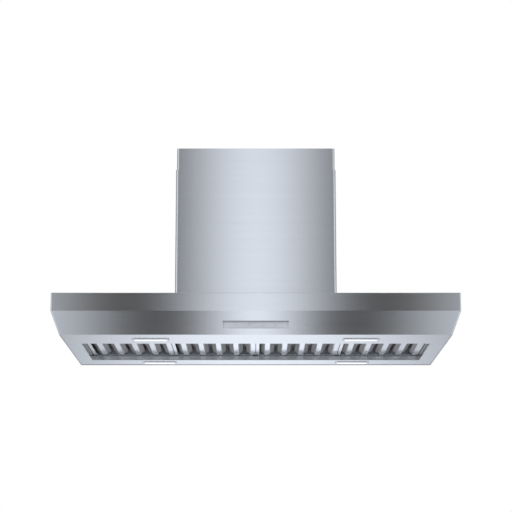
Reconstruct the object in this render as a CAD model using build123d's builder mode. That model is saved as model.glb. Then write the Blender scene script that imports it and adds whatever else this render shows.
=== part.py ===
from build123d import *
from math import atan2, cos, sin, sqrt, tan
import os

os.makedirs("parts", exist_ok=True)

# Island range hood. Millimetres, +Z up, X along the width, the front faces -Y.
# The origin is the middle of the ceiling plane.

# Canopy
CANOPY_W = 1216.0
CANOPY_D = 690.0
BAND_H = 54.4  # upright band
SKIRT_H = 68.0  # leaning part below the band
SKIRT_IN = 24.5  # how far the skirt leans in on every side
CANOPY_CORNER_R = 4.0
CANOPY_EDGE_R = 1.5
SHEET = 1.2

# Underside
FRONT_RIM = 180.3
REAR_RIM = 107.4
SIDE_RIM = 48.0
RECESS_WALL_H = 42.0
LEDGE_GAP = 1.0  # between the outer filters and the strips beside them
PANEL_FLANGE_H = 14.0
PANEL_IN = 1.2  # underside panel above the skirt's lower edge

# Chimney covers
CHIMNEY_W = 500.0
CHIMNEY_D = 300.0
LOWER_BEND = 8.0
UPPER_BEND = 7.0
LOWER_COVER_H = 428.0
UPPER_SHOW = 69.5  # part of the upper cover that stands above the lower one
UPPER_COVER_H = 456.0
COVER_SHEET = 1.0
TELESCOPE_GAP = 1.6
COVER_SEAM = 0.4  # between the front and rear halves
COVER_SCREW_Y = 60.0

# Mast
BRACKET_T = 3.0
BRACKET_FLANGE = 32.0
BRACKET_HOLE_X = 360.0
BRACKET_HOLE_Y = 200.0
BRACKET_HOLE_R = 4.5
DUCT_HOLE_R = 108.0
CABLE_HOLE_R = 14.0
POST_LEG = 30.0
POST_T = 2.0
POST_NEST = 0.5  # free space between the upper and lower posts
UPPER_POST_END = -438.0
LOWER_POST_TOP = -40.0
CLAMP_Z = -423.0
TRAVEL = 310.0  # how far the hood can be lowered

# Filters
FILTER_COUNT = 4
FILTER_SIDE = 7.5  # space beside the outer filters
FILTER_H = 26.0
FILTER_GAP = 2.0
FILTER_LIFT = 15.6  # filters sit this far above the underside panel
FILTER_FRONT_GAP = 1.8
FILTER_REAR_GAP = 4.5
FILTER_SHEET = 1.0
RAIL_LEFT = 10.0
RAIL_RIGHT = 15.0
RAIL_END = 14.0
BAFFLE_FIRST = 35.8  # middle of the first baffle from the filter's left edge
BAFFLE_LAST = 62.0  # middle of the last baffle from the filter's right edge
BAFFLE_SLOT = 10.9
BAFFLE_FLANK = 14.5  # width of a leaning flank
BAFFLE_RISE = 9.0  # height of a leaning flank
BAFFLE_COUNT = 4
HOOD_STRIP_W = 22.0
HOOD_STRIP_H = 13.5
PIVOT_IN = 7.0  # pivot from the filter's rear face, and above its bottom
PIVOT_R = 2.5
PIVOT_BRACKET_T = 4.0
NOTCH_X = 8.0
NOTCH_Y = 16.0
HANDLE_W = 78.0
HANDLE_REACH = 34.0
HANDLE_R = 2.0
HANDLE_Y = 16.0  # handle axis from the filter's front face
HANDLE_DROP = 4.0  # handle axis below the filter

# Lamps
LAMP_X = 318.0
LAMP_W = 112.0
LAMP_D = 43.0
LAMP_FRONT_IN = 103.0  # middle of the front lamps from the rim's front edge
LAMP_REAR_IN = 50.0
LAMP_PROUD = 2.2
DRIVER_IN = 81.0  # middle of the lamp driver from the rim's front edge
LAMP_CORNER_R = 6.0
LENS_W = 96.0
LENS_D = 20.0
LENS_CORNER_R = 3.0
LENS_T = 2.4
LAMP_BODY_H = 24.0

# Controls
CONTROL_W = 197.0
CONTROL_TOP = 28.6  # below the fold
CONTROL_H = 22.0
CONTROL_DEPTH = 15.0
CONTROL_WALL = 0.8
BUTTON_COUNT = 5
BUTTON_W = 37.0
BUTTON_H = 16.4
BUTTON_GAP = 1.6
BUTTON_PROUD = 0.4
BUTTON_TRAVEL = 1.5

# Blower
FAN_ROOM_X = 54.0  # between the fan box and the chimney's outside
FAN_ROOM_Y = 32.0
FAN_BOX_H = 290.0
FAN_FLANGE = 13.0
BOX_BOLT_OUT = 7.0  # box bolts from the fan box's walls
THROAT_IN = 10.0  # throat inside the fan box's walls
THROAT_R = 2.0
JUNCTION_UP = 200.0  # middle of the junction box above the canopy's top
VOLUTE_R = 90.0
VOLUTE_STEP = 8.0
SCROLL_W = 184.0
FAN_Y = -22.0
FAN_ABOVE_TOP = 120.0
IMPELLER_R = 80.0
IMPELLER_W = 170.0
BLADE_COUNT = 28
BLADE_L = 12.0
INLET_R = 66.0
MOTOR_R = 50.0
MOTOR_L = 70.0
SHAFT_R = 4.0
DUCT_R = 98.5
DUCT_WALL = 1.0
DUCT_H = 80.0
DAMPER_ROD_R = 2.5
DAMPER_ROD_UP = 16.0
FLAP_R = 95.5
FLAP_T = 1.0

# Clearances
SLIP = 0.2  # between pieces that are fitted and stay
RUN = 0.06  # around a pin or shaft that turns
BUTTON_PLAY = 0.3

# Levels and places that follow from the sizes above
Z_LOWER_TOP = -UPPER_SHOW
Z_TOP = Z_LOWER_TOP - LOWER_COVER_H
Z_FOLD = Z_TOP - BAND_H
Z_RIM = Z_FOLD - SKIRT_H
Z_PANEL = Z_RIM + PANEL_IN
LEAN = SKIRT_IN / SKIRT_H
SKIN_ACROSS = SHEET * sqrt(1 + LEAN**2)
RIM_W = CANOPY_W - 2 * SKIRT_IN
RIM_D = CANOPY_D - 2 * SKIRT_IN
OPEN_W = RIM_W - 2 * SIDE_RIM
OPEN_FRONT = -RIM_D / 2 + FRONT_RIM
OPEN_REAR = RIM_D / 2 - REAR_RIM
OPEN_D = OPEN_REAR - OPEN_FRONT
OPEN_Y = (OPEN_REAR + OPEN_FRONT) / 2
LAMP_FRONT_Y = -RIM_D / 2 + LAMP_FRONT_IN
LAMP_REAR_Y = RIM_D / 2 - LAMP_REAR_IN
DRIVER_Y = -RIM_D / 2 + DRIVER_IN
UPPER_W = CHIMNEY_W - 2 * COVER_SHEET - 2 * TELESCOPE_GAP
UPPER_D = CHIMNEY_D - 2 * COVER_SHEET - 2 * TELESCOPE_GAP
BRACKET_W = UPPER_W - 2 * COVER_SHEET - 2 * SLIP
BRACKET_D = UPPER_D - 2 * COVER_SHEET - 2 * SLIP
UPPER_POST_X = BRACKET_W / 2 - BRACKET_T - SLIP
UPPER_POST_Y = BRACKET_D / 2 - BRACKET_T - SLIP
LOWER_POST_X = UPPER_POST_X - POST_T - POST_NEST
LOWER_POST_Y = UPPER_POST_Y - POST_T - POST_NEST
LOWER_LEG = POST_LEG - POST_T - POST_NEST
CLAMP_Y = LOWER_POST_Y - LOWER_LEG / 2
FILTER_Z = Z_PANEL + FILTER_LIFT
FILTER_FRONT = OPEN_FRONT + FILTER_FRONT_GAP
FILTER_REAR = OPEN_REAR - FILTER_REAR_GAP
FILTER_L = FILTER_REAR - FILTER_FRONT
FILTER_W = (OPEN_W - 2 * FILTER_SIDE + FILTER_GAP) / FILTER_COUNT - FILTER_GAP
FILTER_PITCH = FILTER_W + FILTER_GAP
BAFFLE_PITCH = (FILTER_W - BAFFLE_FIRST - BAFFLE_LAST) / (BAFFLE_COUNT - 1)
BAFFLE_FLAT = BAFFLE_PITCH - 2 * BAFFLE_FLANK - BAFFLE_SLOT
FLANK_ANGLE = atan2(BAFFLE_RISE, BAFFLE_FLANK)
PIVOT_Y = FILTER_REAR - PIVOT_IN
PIVOT_Z = FILTER_Z + PIVOT_IN
FAN_BOX_W = CHIMNEY_W - 2 * FAN_ROOM_X
FAN_BOX_D = CHIMNEY_D - 2 * FAN_ROOM_Y
CABLE_X = FAN_BOX_W / 2 + 17
THROAT_W = FAN_BOX_W - 2 * THROAT_IN
THROAT_D = FAN_BOX_D - 2 * THROAT_IN
FAN_Z = Z_TOP + FAN_ABOVE_TOP
BOX_TOP = Z_TOP + FAN_BOX_H
DAMPER_Z = BOX_TOP + DAMPER_ROD_UP
CONTROL_Z_TOP = Z_FOLD - CONTROL_TOP
CONTROL_Z_LOW = CONTROL_Z_TOP - CONTROL_H
CONTROL_Z = (CONTROL_Z_TOP + CONTROL_Z_LOW) / 2
CORNERS = [(-1, -1), (1, -1), (-1, 1), (1, 1)]


def skirt_y(z):
    """Y of the front skirt's outer face at height z."""
    return -CANOPY_D / 2 + (Z_FOLD - z) * LEAN


CONTROL_FACE = skirt_y(CONTROL_Z_LOW) + 0.4


def save(part, name):
    part.label = name
    export_step(part, f"parts/{name}.step")


def group(solids, name):
    save(Compound(children=solids), name)


# Ceiling bracket with its turned-down flange
with BuildPart() as ceiling_bracket:
    with BuildSketch(Plane.XY.offset(-BRACKET_FLANGE)):
        RectangleRounded(BRACKET_W, BRACKET_D, UPPER_BEND)
    extrude(amount=BRACKET_FLANGE)
    with BuildSketch(Plane.XY.offset(-BRACKET_FLANGE)):
        Rectangle(BRACKET_W - 2 * BRACKET_T, BRACKET_D - 2 * BRACKET_T)
    extrude(amount=BRACKET_FLANGE - BRACKET_T, mode=Mode.SUBTRACT)
    with Locations((0, 0, 0)):
        Hole(DUCT_HOLE_R)
    with Locations((CABLE_X, 0, 0)):
        Hole(CABLE_HOLE_R)
    with GridLocations(BRACKET_HOLE_X, BRACKET_HOLE_Y, 2, 2):
        Hole(BRACKET_HOLE_R)
    with BuildSketch(Plane.YZ.offset(-BRACKET_W / 2 - 1)):
        with Locations((-COVER_SCREW_Y, -18), (COVER_SCREW_Y, -18)):
            Circle(2.1)
    extrude(amount=BRACKET_W + 2, mode=Mode.SUBTRACT)
save(ceiling_bracket.part, "ceiling_bracket")


def post(corner, reach_x, reach_y, leg):
    """Angle section with its outer corner at the given distances from the middle."""
    sx, sy = corner
    with Locations((sx * (reach_x - leg / 2), sy * (reach_y - leg / 2))):
        Rectangle(leg, leg)
    inner = leg - POST_T
    with Locations((sx * (reach_x - POST_T - inner / 2), sy * (reach_y - POST_T - inner / 2))):
        Rectangle(inner, inner, mode=Mode.SUBTRACT)


upper_posts = []
for corner in CORNERS:
    with BuildPart() as upper_post:
        with BuildSketch(Plane.XY.offset(UPPER_POST_END)):
            post(corner, UPPER_POST_X, UPPER_POST_Y, POST_LEG)
        extrude(amount=-BRACKET_T - UPPER_POST_END)
        with Locations(Location((corner[0] * UPPER_POST_X, corner[1] * CLAMP_Y, CLAMP_Z), (0, 90, 0))):
            Cylinder(3.05, 20, mode=Mode.SUBTRACT)
    upper_posts.append(upper_post.part)
group(upper_posts, "upper_posts")


# Chimney covers, each a front and a rear half
def cover_half(width, depth, bend, z_low, height, side, screw_z):
    with BuildPart() as half:
        with BuildSketch(Plane.XY.offset(z_low)):
            RectangleRounded(width, depth, bend)
            RectangleRounded(
                width - 2 * COVER_SHEET, depth - 2 * COVER_SHEET, bend - COVER_SHEET, mode=Mode.SUBTRACT
            )
            with Locations((0, side * (COVER_SEAM / 2 - depth / 2))):
                Rectangle(width + 2, depth, mode=Mode.SUBTRACT)
        extrude(amount=height)
        with BuildSketch(Plane.YZ.offset(-width / 2 - 1)):
            with Locations((side * COVER_SCREW_Y, screw_z)):
                Circle(2.1)
        extrude(amount=width + 2, mode=Mode.SUBTRACT)
    return half.part


for side, word in ((-1, "front"), (1, "rear")):
    save(
        cover_half(UPPER_W, UPPER_D, UPPER_BEND, -UPPER_COVER_H, UPPER_COVER_H, side, -18),
        f"upper_chimney_{word}",
    )
    save(
        cover_half(CHIMNEY_W, CHIMNEY_D, LOWER_BEND, Z_TOP, LOWER_COVER_H, side, Z_TOP + 11),
        f"lower_chimney_{word}",
    )


def cover_screws(width, z):
    """Pan-head screws through the sides of a cover."""
    screws = []
    for sx, sy in CORNERS:
        with BuildPart() as screw:
            with BuildSketch(Plane.YZ.offset(sx * width / 2)):
                with Locations((sy * COVER_SCREW_Y, z)):
                    Circle(4)
            extrude(amount=sx * 2.2)
            fillet(screw.faces().sort_by(Axis.X)[-1 if sx > 0 else 0].edges(), 1.2)
            with BuildSketch(Plane.YZ.offset(sx * width / 2)):
                with Locations((sy * COVER_SCREW_Y, z)):
                    Circle(2)
            extrude(amount=-sx * 7)
        screws.append(screw.part)
    return screws


group(cover_screws(UPPER_W, -18), "upper_chimney_screws")
group(cover_screws(CHIMNEY_W, Z_TOP + 11), "lower_chimney_screws")

# Clamp bolts hold the upper posts against the slotted lower posts
clamp_bolts = []
for sx, sy in CORNERS:
    with BuildPart() as bolt:
        with BuildSketch(Plane.YZ.offset(sx * (UPPER_POST_X - 0.2))):
            with Locations((sy * CLAMP_Y, CLAMP_Z)):
                Circle(3)
        extrude(amount=-sx * (2 * POST_T + 2 * POST_NEST))
        with BuildSketch(Plane.YZ.offset(sx * (LOWER_POST_X - POST_T - 0.3))):
            with Locations((sy * CLAMP_Y, CLAMP_Z)):
                RegularPolygon(5.5, 6)
        extrude(amount=-sx * 4)
    clamp_bolts.append(bolt.part)
group(clamp_bolts, "post_clamp_bolts")

# Lower posts, each with a welded foot and a slot for the clamp bolt
FOOT_T = 3.0
FOOT_HOLES = [(LOWER_POST_X - 15, LOWER_POST_Y - 40), (LOWER_POST_X - 15, LOWER_POST_Y - 18)]
lower_posts = []
for sx, sy in CORNERS:
    with BuildPart() as lower_post:
        with BuildSketch(Plane.XY.offset(Z_TOP)):
            post((sx, sy), LOWER_POST_X, LOWER_POST_Y, LOWER_LEG)
        extrude(amount=LOWER_POST_TOP - Z_TOP)
        with BuildSketch(Plane.XY.offset(Z_TOP)):
            with Locations((sx * (LOWER_POST_X - LOWER_LEG / 2), sy * (LOWER_POST_Y - 26))):
                Rectangle(LOWER_LEG, 52)
        extrude(amount=FOOT_T)
        with Locations([(sx * x, sy * y, Z_TOP) for x, y in FOOT_HOLES]):
            Cylinder(2.6, 20, mode=Mode.SUBTRACT)
        with BuildSketch(Plane.YZ.offset(sx * (LOWER_POST_X - POST_T - 1))):
            with Locations((sy * CLAMP_Y, CLAMP_Z + TRAVEL / 2)):
                SlotOverall(TRAVEL + 20, 7, rotation=90)
        extrude(amount=sx * (POST_T + 2), mode=Mode.SUBTRACT)
    lower_posts.append(lower_post.part)
group(lower_posts, "lower_posts")

# Brackets that hold the lower cover on the canopy
chimney_brackets = []
BRACKET_FACE = CHIMNEY_W / 2 - COVER_SHEET - SLIP
for sx in (-1, 1):
    with BuildPart() as bracket:
        with BuildSketch(Plane.XZ.offset(-80)):
            with BuildLine():
                Polyline(
                    (sx * BRACKET_FACE, Z_TOP),
                    (sx * BRACKET_FACE, Z_TOP + 20),
                    (sx * (BRACKET_FACE - 1.5), Z_TOP + 20),
                    (sx * (BRACKET_FACE - 1.5), Z_TOP + 1.5),
                    (sx * (BRACKET_FACE - 16), Z_TOP + 1.5),
                    (sx * (BRACKET_FACE - 16), Z_TOP),
                    close=True,
                )
            make_face()
        extrude(amount=160)
        with BuildSketch(Plane.YZ.offset(sx * (BRACKET_FACE - 3))):
            with Locations((-COVER_SCREW_Y, Z_TOP + 11), (COVER_SCREW_Y, Z_TOP + 11)):
                Circle(2.1)
        extrude(amount=sx * 5, mode=Mode.SUBTRACT)
    chimney_brackets.append(bracket.part)
group(chimney_brackets, "chimney_brackets")

# Places on the canopy's top
STAY_END = CANOPY_W / 2 - 68
STAY_MID = LAMP_X - 148
STAY_REAR = CANOPY_D / 2 - 60
STAYS = [(sx * STAY_END, STAY_REAR) for sx in (-1, 1)] + [(sx * STAY_MID, STAY_REAR) for sx in (-1, 1)]
STAYS += [(sx * STAY_END, 65 - CANOPY_D / 2) for sx in (-1, 1)]
STAYS += [(sx * STAY_MID, LAMP_FRONT_Y) for sx in (-1, 1)]
BOX_BOLTS = [(sx * (FAN_BOX_W / 2 + BOX_BOLT_OUT), sy * FAN_BOX_D / 4) for sx, sy in CORNERS]
BOX_BOLTS += [(sx * FAN_BOX_W * 0.3, sy * (FAN_BOX_D / 2 + BOX_BOLT_OUT)) for sx, sy in CORNERS]
FOOT_BOLTS = [(sx * x, sy * y) for sx, sy in CORNERS for x, y in FOOT_HOLES]

# Canopy shell: top, upright band and leaning skirt
with BuildPart() as canopy_shell:
    with BuildSketch(Plane.XY.offset(Z_FOLD)):
        RectangleRounded(CANOPY_W, CANOPY_D, CANOPY_CORNER_R)
    extrude(amount=BAND_H)
    fillet(canopy_shell.faces().sort_by(Axis.Z)[-1].edges(), CANOPY_EDGE_R)
    with BuildSketch(Plane.XY.offset(Z_FOLD)):
        RectangleRounded(CANOPY_W, CANOPY_D, CANOPY_CORNER_R)
    with BuildSketch(Plane.XY.offset(Z_RIM)):
        RectangleRounded(RIM_W, RIM_D, CANOPY_CORNER_R)
    loft(ruled=True)
    with BuildSketch(Plane.XY.offset(Z_FOLD)):
        RectangleRounded(CANOPY_W - 2 * SHEET, CANOPY_D - 2 * SHEET, CANOPY_CORNER_R - SHEET)
    extrude(amount=BAND_H - SHEET, mode=Mode.SUBTRACT)
    with BuildSketch(Plane.XY.offset(Z_FOLD)):
        RectangleRounded(CANOPY_W - 2 * SHEET, CANOPY_D - 2 * SHEET, CANOPY_CORNER_R - SHEET)
    with BuildSketch(Plane.XY.offset(Z_RIM)):
        RectangleRounded(RIM_W - 2 * SKIN_ACROSS, RIM_D - 2 * SKIN_ACROSS, CANOPY_CORNER_R - SHEET)
    loft(ruled=True, mode=Mode.SUBTRACT)
    with BuildSketch(Plane.XY.offset(Z_TOP - 10)):
        RectangleRounded(THROAT_W, THROAT_D, THROAT_R)
        with Locations(STAYS + BOX_BOLTS + FOOT_BOLTS):
            Circle(2.6)
    extrude(amount=20, mode=Mode.SUBTRACT)
    with BuildSketch(Plane.XZ.offset(CANOPY_D / 2 - 40)):
        with Locations((0, CONTROL_Z)):
            Rectangle(CONTROL_W + 2 * SLIP, CONTROL_H + 2 * SLIP)
    extrude(amount=50, mode=Mode.SUBTRACT)
save(canopy_shell.part, "canopy_shell")

# Underside panel with the raised walls round the filters
PANEL_W = RIM_W + 2 * PANEL_IN * LEAN - 2 * SKIN_ACROSS - 2 * SLIP
PANEL_D = RIM_D + 2 * PANEL_IN * LEAN - 2 * SKIN_ACROSS - 2 * SLIP
FLANGE_OUT = 2 * PANEL_FLANGE_H * LEAN
LEDGE_X = FILTER_COUNT * FILTER_PITCH / 2 - FILTER_GAP / 2 + LEDGE_GAP
LEDGE_END = FILTER_REAR - NOTCH_Y
LAMP_PLACES = [(sx * LAMP_X, y) for y in (LAMP_FRONT_Y, LAMP_REAR_Y) for sx in (-1, 1)]
with BuildPart() as underside_panel:
    with BuildSketch(Plane.XY.offset(Z_PANEL)):
        RectangleRounded(PANEL_W, PANEL_D, 3)
    with BuildSketch(Plane.XY.offset(Z_PANEL + PANEL_FLANGE_H)):
        RectangleRounded(PANEL_W + FLANGE_OUT, PANEL_D + FLANGE_OUT, 3)
    loft(ruled=True)
    with BuildSketch(Plane.XY.offset(Z_PANEL + SHEET)):
        RectangleRounded(PANEL_W - 2 * SHEET, PANEL_D - 2 * SHEET, 2)
    with BuildSketch(Plane.XY.offset(Z_PANEL + PANEL_FLANGE_H + SHEET)):
        RectangleRounded(PANEL_W - 2 * SHEET + FLANGE_OUT, PANEL_D - 2 * SHEET + FLANGE_OUT, 2)
    loft(ruled=True, mode=Mode.SUBTRACT)
    with BuildSketch(Plane.XY.offset(Z_PANEL)):
        with Locations((0, OPEN_Y)):
            RectangleRounded(OPEN_W + 2 * SHEET, OPEN_D + 2 * SHEET, 2.2)
    extrude(amount=RECESS_WALL_H)
    with BuildSketch(Plane.XY.offset(Z_PANEL - 1)):
        with Locations((0, OPEN_Y)):
            RectangleRounded(OPEN_W, OPEN_D, 1)
    extrude(amount=RECESS_WALL_H + 2, mode=Mode.SUBTRACT)
    rim_edges = underside_panel.edges().filter_by_position(Axis.Z, Z_PANEL - 0.01, Z_PANEL + 0.01)
    rim_edges = rim_edges.filter_by_position(Axis.X, -OPEN_W / 2 - 0.1, OPEN_W / 2 + 0.1)
    fillet(rim_edges.filter_by_position(Axis.Y, OPEN_FRONT - 0.1, OPEN_REAR + 0.1), 0.9)
    # Strips beside the outer filters
    with BuildSketch(Plane.XY.offset(FILTER_Z + 1)):
        for sx in (-1, 1):
            with Locations((sx * (LEDGE_X + OPEN_W / 2 + 0.5) / 2, (OPEN_FRONT - 0.5 + LEDGE_END) / 2)):
                Rectangle(OPEN_W / 2 + 0.5 - LEDGE_X, LEDGE_END - OPEN_FRONT + 0.5)
    extrude(amount=SHEET)
    with BuildSketch(Plane.XY.offset(Z_PANEL - 1)):
        with Locations(LAMP_PLACES):
            Rectangle(LENS_W + 4 + 2 * SLIP, LENS_D + 4 + 2 * SLIP)
    extrude(amount=4, mode=Mode.SUBTRACT)
save(underside_panel.part, "underside_panel")

# Stays between the underside panel and the canopy's top, each with a screw from above
stays = []
stay_screws = []
for place in STAYS:
    with BuildPart() as stay:
        with BuildSketch(Plane.XY.offset(Z_PANEL + SHEET)):
            with Locations(place):
                Circle(8)
        extrude(amount=Z_TOP - Z_PANEL - 2 * SHEET)
        with BuildSketch(Plane.XY.offset(Z_TOP - SHEET)):
            with Locations(place):
                Circle(2.6)
        extrude(amount=-18, mode=Mode.SUBTRACT)
    stays.append(stay.part)
    with BuildPart() as stay_screw:
        with BuildSketch(Plane.XY.offset(Z_TOP)):
            with Locations(place):
                Circle(5)
        extrude(amount=2.6)
        fillet(stay_screw.faces().sort_by(Axis.Z)[-1].edges(), 1.4)
        with BuildSketch(Plane.XY.offset(Z_TOP)):
            with Locations(place):
                Circle(2.5)
        extrude(amount=-14)
    stay_screws.append(stay_screw.part)
group(stays, "canopy_stays")
group(stay_screws, "stay_screws")

# Bolts of the fan box and of the post feet, each with its nut
bolts = []
for places, plate in ((BOX_BOLTS, SHEET), (FOOT_BOLTS, FOOT_T)):
    for place in places:
        with BuildPart() as bolt:
            with BuildSketch(Plane.XY.offset(Z_TOP + plate)):
                with Locations(place):
                    RegularPolygon(4.6, 6)
            extrude(amount=3.5)
            with BuildSketch(Plane.XY.offset(Z_TOP + plate)):
                with Locations(place):
                    Circle(2.5)
            extrude(amount=-12)
            with BuildSketch(Plane.XY.offset(Z_TOP - SHEET)):
                with Locations(place):
                    RegularPolygon(4.6, 6)
            extrude(amount=-4)
        bolts.append(bolt.part)
group(bolts, "canopy_bolts")

# Fan box on the canopy's top
with BuildPart() as fan_box:
    with BuildSketch(Plane.XY.offset(Z_TOP)):
        RectangleRounded(FAN_BOX_W, FAN_BOX_D, 3)
    extrude(amount=FAN_BOX_H)
    with BuildSketch(Plane.XY.offset(Z_TOP)):
        RectangleRounded(FAN_BOX_W + 2 * FAN_FLANGE, FAN_BOX_D + 2 * FAN_FLANGE, 3)
    extrude(amount=SHEET)
    with BuildSketch(Plane.XY.offset(Z_TOP)):
        RectangleRounded(FAN_BOX_W - 2 * SHEET, FAN_BOX_D - 2 * SHEET, 1.8)
    extrude(amount=FAN_BOX_H - SHEET, mode=Mode.SUBTRACT)
    with BuildSketch(Plane.XY.offset(BOX_TOP - 5)):
        Circle(DUCT_R)
    extrude(amount=10, mode=Mode.SUBTRACT)
    with BuildSketch(Plane.XY.offset(Z_TOP - 1)):
        with Locations(BOX_BOLTS):
            Circle(2.6)
    extrude(amount=5, mode=Mode.SUBTRACT)
save(fan_box.part, "fan_box")


# Blower scroll: three quarter arcs of growing radius, then a straight outlet upwards
def volute(inset, top):
    r1 = VOLUTE_R - inset
    r2 = VOLUTE_R + VOLUTE_STEP - inset
    r3 = VOLUTE_R + 2 * VOLUTE_STEP - inset
    e = VOLUTE_STEP
    with BuildLine() as outline:
        CenterArc((FAN_Y, FAN_Z), r1, 90, 90)
        CenterArc((FAN_Y + e, FAN_Z), r2, 180, 90)
        CenterArc((FAN_Y + e, FAN_Z + e), r3, 270, 90)
        Polyline(
            (FAN_Y + e + r3, FAN_Z + e),
            (FAN_Y + e + r3, top),
            (FAN_Y + inset, top),
            (FAN_Y + inset, FAN_Z + r1),
        )
        if inset:
            Line((FAN_Y + inset, FAN_Z + r1), (FAN_Y, FAN_Z + r1))
    make_face(outline.edges())


with BuildPart() as blower_scroll:
    with BuildSketch(Plane.YZ.offset(-SCROLL_W / 2)):
        volute(0, BOX_TOP - SHEET)
    extrude(amount=SCROLL_W)
    with BuildSketch(Plane.YZ.offset(-SCROLL_W / 2 + 1)):
        volute(1, BOX_TOP)
    extrude(amount=SCROLL_W - 2, mode=Mode.SUBTRACT)
    with BuildSketch(Plane.YZ.offset(-SCROLL_W / 2 - 1)):
        with Locations((FAN_Y, FAN_Z)):
            Circle(INLET_R)
    extrude(amount=SCROLL_W + 2, mode=Mode.SUBTRACT)
save(blower_scroll.part, "blower_scroll")

# Impeller: middle disc, two end rings and blades between them
with BuildPart() as impeller:
    with BuildSketch(Plane.YZ.offset(-IMPELLER_W / 2)):
        with Locations((FAN_Y, FAN_Z)):
            with PolarLocations(IMPELLER_R - BLADE_L / 2 - 1, BLADE_COUNT):
                Rectangle(BLADE_L, 1, rotation=28)
    extrude(amount=IMPELLER_W)
    for x in (-IMPELLER_W / 2, IMPELLER_W / 2 - 2):
        with BuildSketch(Plane.YZ.offset(x)):
            with Locations((FAN_Y, FAN_Z)):
                Circle(IMPELLER_R)
                Circle(IMPELLER_R - BLADE_L + 1, mode=Mode.SUBTRACT)
        extrude(amount=2)
    with BuildSketch(Plane.YZ.offset(-1)):
        with Locations((FAN_Y, FAN_Z)):
            Circle(IMPELLER_R - 2)
    extrude(amount=2)
    with BuildSketch(Plane.YZ.offset(-14)):
        with Locations((FAN_Y, FAN_Z)):
            Circle(12)
    extrude(amount=26)
    with BuildSketch(Plane.YZ.offset(-20)):
        with Locations((FAN_Y, FAN_Z)):
            Circle(SHAFT_R + 0.02)
    extrude(amount=40, mode=Mode.SUBTRACT)
save(impeller.part, "impeller")

with BuildPart() as motor_shaft:
    with BuildSketch(Plane.YZ.offset(-18)):
        with Locations((FAN_Y, FAN_Z)):
            Circle(SHAFT_R)
    extrude(amount=78)
    chamfer(motor_shaft.faces().sort_by(Axis.X)[0].edges(), 0.6)
save(motor_shaft.part, "motor_shaft")

# Motor in the impeller's open side, carried by a flat spider on the scroll
with BuildPart() as motor:
    with BuildSketch(Plane.YZ.offset(SCROLL_W / 2 - MOTOR_L)):
        with Locations((FAN_Y, FAN_Z)):
            Circle(MOTOR_R)
    extrude(amount=MOTOR_L)
    fillet(motor.edges().filter_by(GeomType.CIRCLE), 4)
    with BuildSketch(Plane.YZ.offset(SCROLL_W / 2 - MOTOR_L - 1)):
        with Locations((FAN_Y, FAN_Z)):
            Circle(SHAFT_R + RUN)
    extrude(amount=41, mode=Mode.SUBTRACT)
save(motor.part, "motor")

with BuildPart() as motor_bracket:
    with BuildSketch(Plane.YZ.offset(SCROLL_W / 2)):
        with Locations((FAN_Y, FAN_Z)):
            Circle(INLET_R + 16)
            Circle(INLET_R - 2, mode=Mode.SUBTRACT)
            Circle(32)
            with PolarLocations(46, 3, 30):
                Rectangle(44, 16)
    extrude(amount=2)
save(motor_bracket.part, "motor_bracket")

# Outlet collar on the fan box, with a two-flap damper on a rod
with BuildPart() as outlet_collar:
    with BuildSketch(Plane.XY.offset(BOX_TOP)):
        Circle(DUCT_R + 15)
        Circle(DUCT_R, mode=Mode.SUBTRACT)
    extrude(amount=1.5)
    with BuildSketch(Plane.XY.offset(BOX_TOP)):
        Circle(DUCT_R + DUCT_WALL)
        Circle(DUCT_R, mode=Mode.SUBTRACT)
    extrude(amount=DUCT_H)
    with BuildSketch(Plane.YZ.offset(-DUCT_R - 5)):
        with Locations((0, DAMPER_Z)):
            Circle(DAMPER_ROD_R + 0.05)
    extrude(amount=2 * DUCT_R + 10, mode=Mode.SUBTRACT)
save(outlet_collar.part, "outlet_collar")

with BuildPart() as damper_rod:
    with BuildSketch(Plane.YZ.offset(-DUCT_R - DUCT_WALL / 2)):
        with Locations((0, DAMPER_Z)):
            Circle(DAMPER_ROD_R)
    extrude(amount=2 * DUCT_R + DUCT_WALL)
save(damper_rod.part, "damper_rod")

for side, word, knuckle_x in ((-1, "front", 70), (1, "rear", 50)):
    with BuildPart() as flap:
        with BuildSketch(Plane.XY.offset(DAMPER_Z - FLAP_T / 2)):
            Circle(FLAP_R)
            with Locations((0, side * (5 - FLAP_R))):
                Rectangle(2 * FLAP_R + 2, 2 * FLAP_R, mode=Mode.SUBTRACT)
            with Locations((-knuckle_x, side * 4), (knuckle_x, side * 4)):
                Rectangle(14, 4)
        extrude(amount=FLAP_T)
        for sx in (-1, 1):
            with BuildSketch(Plane.YZ.offset(sx * knuckle_x - 7)):
                with Locations((0, DAMPER_Z)):
                    Circle(4.2)
            extrude(amount=14)
        with BuildSketch(Plane.YZ.offset(-FLAP_R)):
            with Locations((0, DAMPER_Z)):
                Circle(DAMPER_ROD_R + RUN)
        extrude(amount=2 * FLAP_R, mode=Mode.SUBTRACT)
    save(flap.part, f"damper_flap_{word}")

# Pivot brackets on the rear wall, one between each two filters and one at each end
pivot_brackets = []
for i in range(FILTER_COUNT + 1):
    seam_x = (i - FILTER_COUNT / 2) * FILTER_PITCH
    with BuildPart() as pivot_bracket:
        with BuildSketch(Plane.YZ.offset(seam_x - PIVOT_BRACKET_T / 2)):
            with BuildLine():
                Polyline(
                    (OPEN_REAR, PIVOT_Z - 5),
                    (OPEN_REAR, PIVOT_Z + 11),
                    (PIVOT_Y - 5, PIVOT_Z + 5),
                    (PIVOT_Y - 5, PIVOT_Z - 5),
                    close=True,
                )
            make_face()
            with Locations((PIVOT_Y, PIVOT_Z)):
                Circle(PIVOT_R + RUN, mode=Mode.SUBTRACT)
        extrude(amount=PIVOT_BRACKET_T)
    pivot_brackets.append(pivot_bracket.part)
group(pivot_brackets, "filter_pivot_brackets")

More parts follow.
